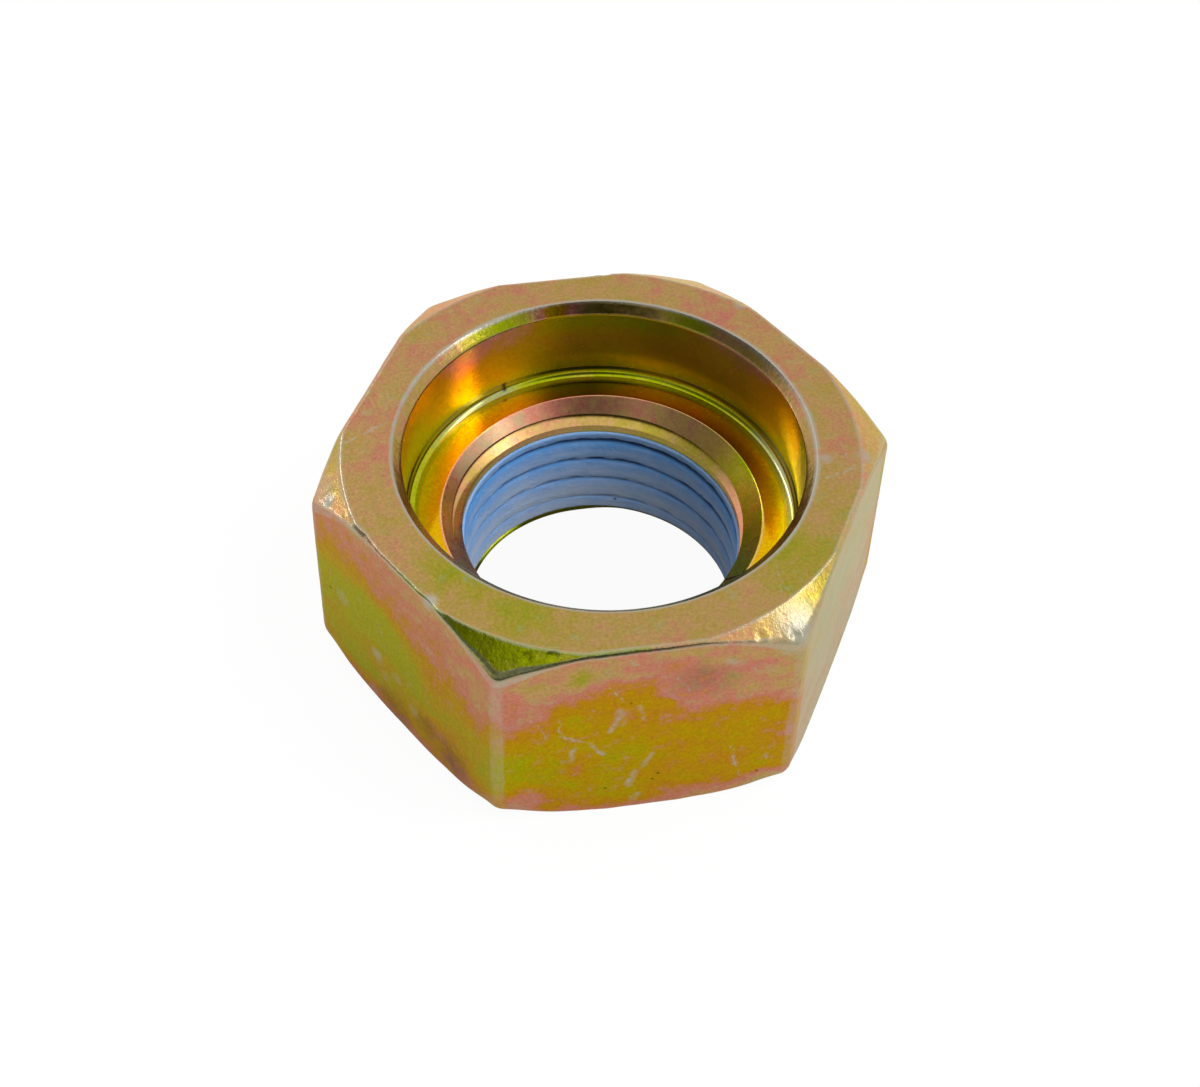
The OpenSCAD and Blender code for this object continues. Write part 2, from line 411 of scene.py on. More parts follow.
# Where the film is thicker or thinner: place, width and height in millimetres, and the change
FRONT_PATCHES = (
    (-8.4, 11.4, 2.4, 2.0, 0.15), (-9.6, 5.2, 1.6, 1.6, -0.08), (-2.5, 12.6, 2.6, 1.3, -0.26),
    (0.6, 11.8, 1.8, 0.9, -0.16), (3.4, 11.2, 1.8, 0.7, 0.1), (-4.6, 15.3, 0.9, 1.0, 0.34),
    (-7.0, 14.6, 1.6, 1.2, 0.16), (4.8, 15.6, 1.6, 0.7, 0.24), (5.4, 13.8, 1.2, 1.1, 0.15),
    (5.0, 13.4, 4.5, 2.4, -0.17), (7.6, 8.8, 2.8, 1.9, -0.26), (2.6, 16.8, 1.1, 0.5, 0.18),
    (5.2, 14.8, 3.6, 1.6, -0.1), (-4.8, 5.6, 0.7, 1.2, 0.28), (8.4, 3.6, 2.2, 1.6, -0.2),
    (3.6, 8.0, 1.5, 1.2, -0.12), (-6.0, 5.5, 1.6, 1.5, -0.1), (-5.0, 11.0, 1.2, 0.9, -0.2),
    (-8.6, 2.4, 2.2, 1.2, 0.3), (-1.0, 1.4, 2.6, 1.2, -0.24), (8.8, 1.8, 1.2, 1.0, 0.3),
)
TOP_PATCHES = (
    (-8.5, -13.4, 4.8, 1.0, 0.16), (-12.6, -9.6, 2.2, 1.2, 0.12), (0.0, 16.6, 3.0, 1.2, 0.1),
    (15.0, 7.0, 3.2, 1.2, -0.13), (16.0, -4.0, 6.0, 1.2, -0.17), (6.5, -16.2, 2.6, 1.2, -0.09),
    (10.0, 13.0, 3.0, 1.2, -0.09),
)
SIDE_PATCHES = (
    ((-18.0, -4.9, 9.8), 5.0, 2.8, -0.3), ((-15.2, -9.7, 7.0), 2.6, 2.4, -0.12),
    ((-13.4, -12.8, 9.5), 3.2, 3.2, 0.16), ((-17.5, -5.8, 15.0), 5.0, 1.6, -0.05),
    ((-11.4, -16.2, 11.0), 1.4, 3.6, 0.16), ((-13.5, -12.8, 4.0), 3.0, 1.6, 0.2),
    ((-12.2, -15.0, 2.0), 2.5, 1.2, 0.15), ((-18.6, -3.9, 2.2), 3.0, 1.6, -0.2),
    ((15.6, -9.1, 8.5), 15.0, 9.0, 0.6),
)
FILM_PATCHES = (tuple(((x, FRONT_Y, z), *rest) for x, z, *rest in FRONT_PATCHES) + SIDE_PATCHES
                + tuple(((x, y, MOUTH_Z), *rest) for x, y, *rest in TOP_PATCHES))

# Spots rubbed down to grey zinc: place and radius in millimetres, and how far they are rubbed
# Some are partly painted highlights: the broad spots on the front-right chamfer and along the left corner's
# top edge
RUBBED_AND_HIGHLIGHT_SPOTS = (
    ((-13.9, -12.0, 17.5), 0.8, 1.0), ((15.1, -3.2, 17.6), 0.7, 0.7), ((17.9, -3.2, 17.3), 0.9, 0.7),
    ((20.2, -1.0, 16.0), 1.1, 0.6), ((-19.7, -1.3, 16.7), 0.8, 1.0), ((-20.3, 0.4, 15.8), 0.7, 0.6),
    ((10.0, -17.9, 16.2), 0.8, 0.7), ((-19.1, -2.9, 8.3), 1.3, 0.5), ((-17.2, -6.3, 5.5), 0.9, 0.62),
    ((-16.0, -8.3, 5.0), 1.0, 0.45), ((-15.1, -10.0, 3.2), 0.9, 0.55), ((-16.8, -7.2, 3.8), 1.3, 0.4),
    ((-14.3, -11.5, 8.2), 0.6, 0.35), ((-9.6, -17.2, 0.9), 1.4, 0.6), ((10.0, -17.2, 3.5), 0.8, 0.45),
    ((12.4, 12.9, 17.3), 0.8, 0.7), ((-9.4, 16.6, 0.7), 0.9, 0.7), ((18.1, -7.3, 0.6), 0.9, 0.6),
    ((17.2, 7.0, 9.0), 1.3, 0.5), ((3.0, 18.0, 6.0), 1.2, 0.45), ((-15.0, 10.2, 11.0), 1.0, 0.5),
    ((10.2, -17.0, 16.8), 2.4, 0.8), ((-19.8, 0.0, 16.4), 1.8, 0.5), ((-19.6, -1.2, 16.4), 0.5, 1.2),
)
# Dirty places on the flats: place and radius in millimetres, and how dark
DIRTY_SPOTS = (
    ((-12.8, -13.9, 1.9), 3.4, 0.62), ((-16.2, -7.9, 1.2), 3.4, 0.58), ((-14.4, -11.1, 2.8), 2.8, 0.56),
    ((-10.8, -17.2, 1.0), 1.2, 0.5), ((4.0, -18.1, 14.4), 5.0, 0.5), ((12.0, 13.8, 2.0), 3.0, 0.5),
    ((-4.0, 18.0, 1.5), 3.0, 0.5),
)

# Scratches rubbed grey on the front flat, the mouth face and the edges: start, end, half width in millimetres
FRONT_SCRATCHES = (
    (-7.9, 11.6, -6.9, 9.4, 0.12), (-6.1, 11.2, -5.9, 9.4, 0.16), (-5.9, 9.3, -3.9, 8.1, 0.13),
    (-3.9, 8.1, -2.9, 6.6, 0.24), (-5.0, 7.7, -5.2, 6.2, 0.3), (-1.9, 11.3, -1.8, 10.1, 0.5),
    (-2.1, 10.0, -2.5, 9.2, 0.24), (-0.6, 11.6, -0.3, 10.2, 0.22), (0.5, 6.0, -0.2, 4.6, 0.3),
    (-0.7, 4.1, -1.1, 2.7, 0.42), (6.0, 5.8, 6.9, 2.2, 0.14), (-2.8, 14.2, -1.7, 12.4, 0.14),
    (-1.6, 17.0, -0.2, 15.4, 0.1), (1.9, 14.2, 3.0, 12.4, 0.16), (5.4, 15.3, 5.7, 15.1, 0.55),
    (-0.4, 1.4, -0.7, 1.0, 0.4), (8.6, 4.3, 8.7, 3.9, 0.24),
)
TOP_SCRATCHES = (
    (-18.2, 3.0, -17.2, 3.4, 0.2), (-16.4, 3.8, -14.9, 4.7, 0.14), (14.7, -5.0, 17.0, -4.4, 0.16),
    (16.4, -1.6, 16.9, -4.2, 0.1), (9.4, -14.6, 9.6, -11.9, 0.08),
)
EDGE_SCRATCHES = (
    ((9.0, -18.0, 15.6), (9.6, -17.9, 15.0), 0.3), ((17.6, 3.2, 17.5), (18.1, 0.2, 17.5), 0.14),
    ((18.1, 0.2, 17.5), (18.2, -2.8, 17.5), 0.14),
)
SCRATCHES = (
    tuple(((x, FRONT_Y, z), (to_x, FRONT_Y, to_z), width) for x, z, to_x, to_z, width in FRONT_SCRATCHES)
    + tuple(((x, y, MOUTH_Z), (to_x, to_y, MOUTH_Z), width) for x, y, to_x, to_y, width in TOP_SCRATCHES)
    + EDGE_SCRATCHES)
# Dark pores in the zinc and dark specks in the coat: place and radius in millimetres
PORES = (
    ((-2.7, -18.1, 2.6), 0.16), ((0.6, -18.1, 3.0), 0.16), ((1.0, -18.1, 3.6), 0.18),
    ((8.1, -18.1, 2.4), 0.18), ((-1.2, -18.1, 12.1), 0.14), ((-19.9, -1.6, 7.9), 0.2),
    ((7.4, 12.2, 14.5), 0.16), ((12.2, 7.4, 15.0), 0.16),
)
COAT_SPECKS = (((5.27, 8.6, 7.65), 0.22), ((2.91, 9.67, 1.2), 0.2), ((8.62, 5.1, 5.6), 0.24))


def dent(points, outward):
    """Pushes the surface in at each dent, with a small raised lip round it."""
    for place, radius, depth in DENTS:
        gap = np.linalg.norm(points - np.array(place) * MM, axis=1) / (radius * MM)
        push = np.exp(-(gap ** 2) * 2.2) - 0.35 * np.exp(-((gap - 1.25) ** 2) * 9.0)
        points = points - outward * (push * depth * MM)[:, None]
    return points


def read_table(table, values):
    """Reads a table of pairs, with straight lines between its rows."""
    return np.interp(values, [row[0] for row in table], [row[1] for row in table])


def paint_film(place, points, degrees):
    """Film thickness on one ring of points, by the surface that the ring's place in the section lies on."""
    height = points[:, 2] / MM
    depth = MOUTH_Z - height
    if place < 1.0:
        film = np.full(len(points), 0.5)
    elif place < 2.7:
        film = read_table(FLAT_FILM, height + read_table(FILM_SWAY, degrees))
    elif place < 3.7:
        film = np.array(CHAMFER_FILM)[np.round(degrees / 60.0).astype(int) % 6]
    elif place < 4.7:
        film = np.full(len(points), 0.65)
    elif place < 5.7:
        film = read_table(MOUTH_FILM, degrees)
    elif place < 6.3:
        film = np.interp(depth, (0.7, 2.0, 3.6, 5.2, 6.0), (0.44, 0.37, 0.3, 0.2, 0.03))
        film = film - 0.3 * smooth_step(128.0, 156.0, degrees) - 0.1 * smooth_step(166.0, 190.0, degrees)
        film = film - 0.2 * (1.0 - smooth_step(8.0, 26.0, degrees))
        # Painted reflection: the film turns olive on the upper back wall, for the blue coat seen in it
        upper = (1.0 - smooth_step(1.4, 3.0, depth)) * smooth_step(45.0, 65.0, degrees)
        film = film - 0.34 * upper * (1.0 - smooth_step(92.0, 106.0, degrees))
        # Painted reflection: thicker film near the top at 124 degrees tints the top of the lamp's streak pink
        film = film + 0.16 * np.exp(-((degrees - 124.0) / 8.0) ** 2) * (1.0 - smooth_step(2.0, 4.0, depth))
    elif place < 6.9:
        film = np.full(len(points), 0.96)
    elif place < 7.4:
        out = np.hypot(points[:, 0], points[:, 1] - BORE_SHIFT[1]) / MM
        film = np.interp(out, (11.6, 12.4, 13.0, 13.6), (0.3, 0.24, 0.14, 0.0))
        film = film + read_table(FLOOR_FILM, degrees)
    elif place < 10.4:
        film = read_table(RING_FILM, degrees)
    elif place < 11.9:
        film = read_table(ROOT_FILM, degrees)
    elif place < 15.1:
        film = read_table(LOWER_FILM, degrees)
    else:
        film = np.full(len(points), 0.95)
    if place < 4.7:
        for centre, wide, tall, change in FILM_PATCHES:
            away = points / MM - np.array(centre)
            gap = (away[:, 0] ** 2 + away[:, 1] ** 2) / wide ** 2 + away[:, 2] ** 2 / tall ** 2
            film = film + change * np.exp(-gap)
    return film


def spot_strength(spots, points):
    """The strongest of the spots at each point, each fading from its centre."""
    strength = np.zeros(len(points))
    for centre, radius, amount in spots:
        gap = np.linalg.norm(points / MM - np.array(centre), axis=1) / radius
        strength = np.maximum(strength, amount * np.exp(-gap ** 2))
    return strength


def unevenness(points):
    """Small waves from forging, as a distance for each point."""
    waves = np.empty(len(points))
    for k, point in enumerate(points):
        waves[k] = 0.02 * noise.noise(Vector(point) * 220.0) + 0.014 * noise.noise(Vector(point) * 900.0)
    return waves * MM


def make_mesh_object(name, points, faces, collection):
    """A new mesh object at the origin from points and faces."""
    mesh = bpy.data.meshes.new(name)
    mesh.from_pydata([tuple(p) for p in points], [], faces)
    made = bpy.data.objects.new(name, mesh)
    collection.objects.link(made)
    return made


def smooth_outward(mesh, weld=False):
    """Turns all faces outward and shades them smooth. Welding first joins the points that fell together."""
    work = bmesh.new()
    work.from_mesh(mesh)
    if weld:
        bmesh.ops.remove_doubles(work, verts=work.verts, dist=2e-7)
        bmesh.ops.dissolve_degenerate(work, edges=work.edges, dist=1e-8)
    bmesh.ops.recalc_face_normals(work, faces=work.faces)
    for face in work.faces:
        face.smooth = True
    work.to_mesh(mesh)
    work.free()


def paint_rings(sizes, rows, places, names, from_corner, outline, degrees):
    """Film, rubbed edges with painted highlights, and dirt with painted shade for every point of the rings.
    """
    film = np.array([paint_film(places[r][0], rows[r], degrees) for r in range(len(rows))])
    edge = np.zeros(rows.shape[:2])
    dirt_and_shade = np.zeros(rows.shape[:2])
    paint = {"edge": edge, "film": film, "dirt_and_shade": dirt_and_shade}
    top_edge_row = places.index((names.index("top edge") - 0.25, 1.0))
    root_row = places.index((names.index("root bottom") - 0.5, 1.0))
    corner_rows = [(r, names[math.ceil(place[0])]) for r, place in enumerate(places)
                   if place[1] > 0.5 and names[math.ceil(place[0])] in EDGE_WEAR]
    for r, row in enumerate(rows):
        place = places[r][0]
        for c, corner in corner_rows:
            if abs(c - r) < 14:
                gap = np.linalg.norm(row - rows[c], axis=1)
                # The rim's and the mouth edge's wider bands are partly painted highlights
                table = {"mouth rim": RIM_RUB_AND_HIGHLIGHT, "mouth edge": MOUTH_RUB_AND_HIGHLIGHT}.get(corner, EVEN_RUB)
                reach = read_table(table, degrees)
                edge[r] = np.maximum(edge[r], EDGE_WEAR[corner] * np.exp(-gap / (reach * MM)))
        if 1.5 <= place <= 2.5:
            gap = np.maximum(from_corner * outline, 0.0)
            edge[r] = np.maximum(edge[r], 0.52 * np.exp(-gap / (0.35 * MM)))
            # Grey zinc over the right flat: partly rub, partly a painted reflection of the bright floor
            edge[r] = np.maximum(edge[r], read_table(FLAT_RUB_AND_REFLECTION, degrees))
        # Rubbed spots, some of them partly painted highlights
        edge[r] = np.maximum(edge[r], 1.2 * spot_strength(RUBBED_AND_HIGHLIGHT_SPOTS, row))
        # Dark line along the top edge: partly dirt, partly a painted dark reflection
        if 1.5 <= place <= 4.5:
            gap = np.linalg.norm(row - rows[top_edge_row], axis=1)
            dirt_and_shade[r] = read_table(TOP_EDGE_DIRT_AND_SHADE, degrees) * np.exp(-(gap / (0.13 * MM)) ** 2)
        if 1.0 <= place <= 2.5:
            dirt_and_shade[r] = np.maximum(dirt_and_shade[r], spot_strength(DIRTY_SPOTS, row))
        for first, last, kind, table in RING_PAINT:
            if first <= place <= last:
                paint[kind][r] = read_table(table, degrees)
        # Painted shade on the wall above its lower part, standing in for its dark reflections
        if place == 6.0:
            lower = smooth_step(4.2 * MM, 5.6 * MM, sizes.height - row[:, 2])
            dirt_and_shade[r] = read_table(WALL_PAINTED_SHADE, degrees) * (1.0 - lower)
        # Painted shade in the first turn's root, where its crevice lies in shadow
        if 10.5 <= place <= 12.75:
            gap = np.linalg.norm(row - rows[root_row], axis=1)
            rooted = read_table(ROOT_PAINTED_SHADE, degrees) * np.exp(-(gap / (0.22 * MM)) ** 2)
            dirt_and_shade[r] = np.maximum(dirt_and_shade[r], rooted)
    return paint


def build_body_mesh(sizes, collection):
    """The steel nut as one closed mesh of rings; its points keep the film, wear, dirt, painted highlights and
    painted shade.
    """
    angles = ring_angles()
    degrees = np.degrees(angles) % 360.0
    stops, from_corner, outline = nut_corners(sizes, angles)
    rows, places = profile_rows(stops)
    ring_count, angle_count = rows.shape[:2]
    names = [stop[0] for stop in stops]
    paint = paint_rings(sizes, rows, places, names, from_corner, outline, degrees)
    points = rows.reshape(-1, 3)
    outward = points - np.array([0.0, 0.0, sizes.height / 2])
    outward = outward / np.linalg.norm(outward, axis=1, keepdims=True)
    points = dent(points, outward)
    # Only the outside, from the bearing face to the mouth's edge, has the waves
    outside = np.repeat([1.0 if 0.4 < place[0] < 5.6 else 0.0 for place in places], angle_count)
    points = points + outward * (unevenness(points) * outside)[:, None]
    quads = []
    finishes = []
    for r in range(ring_count):
        here = r * angle_count
        after = (r + 1) % ring_count * angle_count
        finish = next(number for end, number in FINISH_ENDS if places[r][0] < end)
        for a in range(angle_count):
            b = (a + 1) % angle_count
            quads.append((here + a, here + b, after + b, after + a))
            finishes.append(finish)
    body = make_mesh_object("nut_steel", points, quads, collection)
    for name, values in paint.items():
        attribute = body.data.attributes.new(name, "FLOAT", "POINT")
        attribute.data.foreach_set("value", values.ravel().astype(np.float32))
    body.data.polygons.foreach_set("material_index", finishes)
    smooth_outward(body.data, weld=True)
    return body


def add_node(tree, kind, inputs=None, **settings):
    """Adds one node with its settings. Inputs, by name or number, are linked to sockets or set to values."""
    node = tree.nodes.new(kind)
    for name, value in settings.items():
        setattr(node, name, value)
    for key, value in (inputs or {}).items():
        if isinstance(value, bpy.types.NodeSocket):
            tree.links.new(value, node.inputs[key])
        else:
            node.inputs[key].default_value = value
    return node


def calculate(tree, operation, *values, clamp=False):
    """The output of one Math node."""
    inputs = dict(enumerate(values))
    return add_node(tree, "ShaderNodeMath", inputs, operation=operation, use_clamp=clamp).outputs[0]


def combine(tree, operation, *values):
    """The output of one Vector Math node."""
    inputs = {0: values[0], "Scale": values[1]} if operation == "SCALE" else dict(enumerate(values))
    node = add_node(tree, "ShaderNodeVectorMath", inputs, operation=operation)
    return node.outputs["Value" if operation in {"DOT_PRODUCT", "DISTANCE", "LENGTH"} else "Vector"]


def remap(tree, value, low, high, to_low=0.0, to_high=1.0, **settings):
    """The output of one Map Range node."""
    inputs = {"Value": value, 1: low, 2: high, 3: to_low, 4: to_high}
    return add_node(tree, "ShaderNodeMapRange", inputs, **settings).outputs[0]


def noise_texture(tree, place, scale, detail=2.0, roughness=0.5):
    """The outputs of one noise texture."""
    inputs = {"Vector": place, "Scale": scale, "Detail": detail, "Roughness": roughness}
    return add_node(tree, "ShaderNodeTexNoise", inputs).outputs


def painted(tree, name):
    """What one of the mesh's own attributes says at each point."""
    return add_node(tree, "ShaderNodeAttribute", attribute_name=name).outputs["Fac"]


def blend(tree, share, first, second):
    """Two colours mixed; the share is the second one's. A colour is a socket or three values."""
    inputs = {"Factor": share}
    for key, colour in ((6, first), (7, second)):
        inputs[key] = colour if isinstance(colour, bpy.types.NodeSocket) else (*colour, 1.0)
    return add_node(tree, "ShaderNodeMix", inputs, data_type="RGBA").outputs[2]


def roughen(tree, height, strength, distance, normal=None):
    """The normal that one Bump node gives."""
    inputs = {"Height": height, "Strength": strength, "Distance": distance}
    if normal is not None:
        inputs["Normal"] = normal
    return add_node(tree, "ShaderNodeBump", inputs).outputs[0]


def film_ramp(tree, thickness, colours):
    """The interference colours of the passivation film in their real order, from thin to thick."""
    ramp = add_node(tree, "ShaderNodeValToRGB", {"Fac": thickness})
    elements = ramp.color_ramp.elements
    elements.remove(elements[-1])
    elements[0].color = (*colours.olive_yellow, 1.0)
    for place, colour in ((0.2, colours.gold), (0.36, colours.orange), (0.5, colours.pink),
                          (0.66, colours.tan), (0.82, colours.olive_tan), (1.0, colours.green)):
        elements.new(place).color = (*colour, 1.0)
    return ramp.outputs["Color"]


def new_material(name, shader_kind="ShaderNodeBsdfPrincipled"):
    """A node material with its shader, joined to the output."""
    material = bpy.data.materials.new(name)
    material.use_nodes = True
    tree = material.node_tree
    tree.nodes.clear()
    shader = tree.nodes.new(shader_kind)
    add_node(tree, "ShaderNodeOutputMaterial", {"Surface": shader.outputs[0]})
    return material, tree, shader


def rub_mark_group():
    """A node group that marks a short scratch from Start to End, soft at its rim. It is built once."""
    if "rub_mark" in bpy.data.node_groups:
        return bpy.data.node_groups["rub_mark"]
    tree = bpy.data.node_groups.new("rub_mark", "ShaderNodeTree")
    for name in ("Place", "Start", "End"):
        tree.interface.new_socket(name=name, in_out="INPUT", socket_type="NodeSocketVector")
    tree.interface.new_socket(name="Width", in_out="INPUT", socket_type="NodeSocketFloat")
    tree.interface.new_socket(name="Mask", in_out="OUTPUT", socket_type="NodeSocketFloat")
    given = tree.nodes.new("NodeGroupInput").outputs
    from_start = combine(tree, "SUBTRACT", given["Place"], given["Start"])
    length = combine(tree, "SUBTRACT", given["End"], given["Start"])
    along = combine(tree, "DOT_PRODUCT", from_start, length)
    share = calculate(tree, "DIVIDE", along, combine(tree, "DOT_PRODUCT", length, length), clamp=True)
    gap = combine(tree, "DISTANCE", from_start, combine(tree, "SCALE", length, share))
    inner = calculate(tree, "MULTIPLY", given["Width"], 0.1)
    add_node(tree, "NodeGroupOutput", {0: remap(tree, gap, inner, given["Width"], 1.0, 0.0)})
    return tree


def mark_chain(tree, place, marks):
    """The strongest of several marks at each point; a spot is a mark that ends where it starts."""
    strongest = 0.0
    for *ends, width in marks:
        inputs = {"Place": place, "Start": Vector(ends[0]) * MM, "End": Vector(ends[-1]) * MM}
        mark = add_node(tree, "ShaderNodeGroup", {**inputs, "Width": width * MM}, node_tree=rub_mark_group())
        strongest = calculate(tree, "MAXIMUM", strongest, mark.outputs[0])
    return strongest


def plated_finish(name, colours, roughness, drift, grain_bump, painted_brightness, turned=False, marked=False):
    """Yellow passivated zinc. The film's thickness drifts over the part, so its colour wanders from gold to
    pink, tan and olive, and the zinc shows grey where edges are rubbed and where highlights are painted. Dark
    grime is laid on for dirt and as painted shade. Each finish scales its colour by a painted brightness,
    which stands in for how much light it throws back, and a turned one stretches its highlights across the
    tool's rings."""
    material, tree, shader = new_material(name)
    place = add_node(tree, "ShaderNodeTexCoord").outputs["Object"]
    flat_place = add_node(tree, "ShaderNodeMapping", {"Vector": place, "Scale": (1.0, 1.0, 1.7)}).outputs[0]
    # Noise from wide to fine: the film's drift, its mottle and the surface's grain
    wide = noise_texture(tree, flat_place, 260.0, 4.0, 0.6)["Fac"]
    mottle = noise_texture(tree, place, 950.0, 4.0, 0.7)["Fac"]
    grain = noise_texture(tree, place, 4200.0)["Fac"]
    painted_film, edge, painted_dirt_and_shade = (painted(tree, name) for name in ("film", "edge", "dirt_and_shade"))
    wander = remap(tree, wide, 0.3, 0.7, -drift, drift, clamp=False)
    fine = remap(tree, mottle, 0.3, 0.7, -drift, drift, clamp=False)
    film = calculate(tree, "ADD", calculate(tree, "ADD", wander, fine), painted_film)
    # Painted brightness: the film's colour is scaled per finish, standing in for how much light the surface
    # throws back
    speck = remap(tree, grain, 0.3, 0.7, 0.88 * painted_brightness, 1.1 * painted_brightness)
    colour = combine(tree, "SCALE", film_ramp(tree, film, colours), speck)
    patchy = calculate(tree, "ADD", wide, mottle)
    # Grey zinc where edges are rubbed, and where the painted highlights and the right flat's painted
    # reflection lie
    wear_and_highlight = remap(tree, calculate(tree, "MULTIPLY", edge, patchy), 0.36, 0.95, 0.0, 0.85)
    if marked:
        shake = noise_texture(tree, place, 1900.0, 3.0)
        centred = combine(tree, "SUBTRACT", shake["Color"], (0.5, 0.5, 0.5))
        moved = combine(tree, "MULTIPLY_ADD", centred, (0.7 * MM, 0.7 * MM, 0.7 * MM), place)
        broken = remap(tree, shake["Fac"], 0.36, 0.6, 0.12, 0.75)
        faint = calculate(tree, "MULTIPLY", mark_chain(tree, moved, SCRATCHES), broken)
        chafed = remap(tree, mottle, 0.57, 0.78, 0.0, 0.38)
        wear_and_highlight = calculate(tree, "MAXIMUM", calculate(tree, "MAXIMUM", wear_and_highlight, faint), chafed)
    colour = blend(tree, wear_and_highlight, colour, colours.zinc_wear_and_highlight)
    # Dark grime for real dirt, nicks and pores, and for painted shade and dark reflections in the bore
    if grain_bump > 0.0:
        dark = remap(tree, calculate(tree, "MULTIPLY", painted_dirt_and_shade, patchy), 0.38, 1.0, 0.0, 0.85)
    else:
        dark = calculate(tree, "MULTIPLY", painted_dirt_and_shade, 0.9)
    if marked:
        dark = calculate(tree, "MAXIMUM", dark, mark_chain(tree, place, PORES))
    colour = blend(tree, dark, colour, colours.dirt_and_shade)
    tree.links.new(colour, shader.inputs["Base Color"])
    shader.inputs["Metallic"].default_value = 1.0
    shader.inputs["Specular Tint"].default_value = (0.92, 0.86, 0.6, 1.0)
    gloss = remap(tree, mottle, 0.25, 0.75, roughness - 0.04, roughness + 0.05)
    tree.links.new(gloss, shader.inputs["Roughness"])
    if turned:
        shader.inputs["Anisotropic"].default_value = 1.0
        apart = combine(tree, "SUBTRACT", place, (0.0, BORE_SHIFT[1], 0.0))
        ring = combine(tree, "CROSS_PRODUCT", (0.0, 0.0, 1.0), apart)
        facing = add_node(tree, "ShaderNodeNewGeometry").outputs["Normal"]
        across = combine(tree, "NORMALIZE", combine(tree, "CROSS_PRODUCT", ring, facing))
        tree.links.new(across, shader.inputs["Tangent"])
    if grain_bump > 0.0:
        bump = roughen(tree, grain, grain_bump, 0.05 * MM)
        dull = roughen(tree, mottle, grain_bump * 0.8, 0.3 * MM, bump)
        tree.links.new(dull, shader.inputs["Normal"])
    return material


def coat_finish(colours):
    """Matt nylon powder fused to the thread: chalky, pale where rubbed, with painted shade in deep blue in
    the groove lines.
    """
    material, tree, shader = new_material("fused_nylon_powder")
    place = add_node(tree, "ShaderNodeTexCoord").outputs["Object"]
    cloud = noise_texture(tree, place, 520.0, 6.0, 0.7)["Fac"]
    powder = noise_texture(tree, place, 3600.0, 3.0)["Fac"]
    valley, below = painted(tree, "valley"), painted(tree, "below_line")
    height = add_node(tree, "ShaderNodeSeparateXYZ", {0: place}).outputs["Z"]
    high = remap(tree, height, 1.0 * MM, 8.5 * MM, -0.36, 0.28)
    cloudy = calculate(tree, "MULTIPLY_ADD", cloud, 0.85, high)
    share = calculate(tree, "MULTIPLY_ADD", below, 0.55, cloudy, clamp=True)
    tone = blend(tree, share, colours.coat_pale, colours.coat_blue)
    # Painted shade: navy in the groove lines stands in for the shadow there; the specks are real
    dark = remap(tree, valley, 0.2, 0.62, 0.0, 0.95)
    deep = calculate(tree, "MAXIMUM", dark, mark_chain(tree, place, COAT_SPECKS))
    paint = blend(tree, deep, tone, colours.coat_groove_shade)
    tree.links.new(paint, shader.inputs["Base Color"])
    shader.inputs["Roughness"].default_value = 0.75
    shader.inputs["IOR"].default_value = 1.5
    tree.links.new(roughen(tree, powder, 0.5, 0.1 * MM), shader.inputs["Normal"])
    return material


class NUT_OT_body(bpy.types.Operator):
    """Builds the steel nut with its counterbore, countersink and first thread turn."""

    bl_idname = "nut.body"
    bl_label = "Build steel nut"

    def execute(self, context):
        colours = context.scene.nut_colours
        body = build_body_mesh(context.scene.nut_sizes, context.scene.collection)
        # Each finish: roughness, drift of the film, depth of the grain and a painted brightness that scales
        # its colour
        for finish in (
                plated_finish("forged_passivated_zinc", colours, 0.42, 0.11, 0.3, 1.0, marked=True),
                plated_finish("chamfered_passivated_zinc", colours, 0.24, 0.09, 0.2, 1.26),
                plated_finish("faced_passivated_zinc", colours, 0.42, 0.1, 0.3, 0.97, marked=True),
                plated_finish("turned_passivated_zinc", colours, 0.24, 0.05, 0.0, 2.15, turned=True),
                plated_finish("tapped_passivated_zinc", colours, 0.28, 0.08, 0.03, 1.6),
                plated_finish("burnished_fillet_zinc", colours, 0.14, 0.05, 0.0, 1.5),
                plated_finish("deburred_passivated_zinc", colours, 0.22, 0.1, 0.15, 1.0),
                plated_finish("bright_turned_floor_zinc", colours, 0.11, 0.05, 0.0, 1.8)):
            body.data.materials.append(finish)
        if len(body.data.polygons) < 1000:
            raise RuntimeError("the nut's mesh came out empty")
        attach(body, "root")
        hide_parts("nut_body")
        return {"FINISHED"}


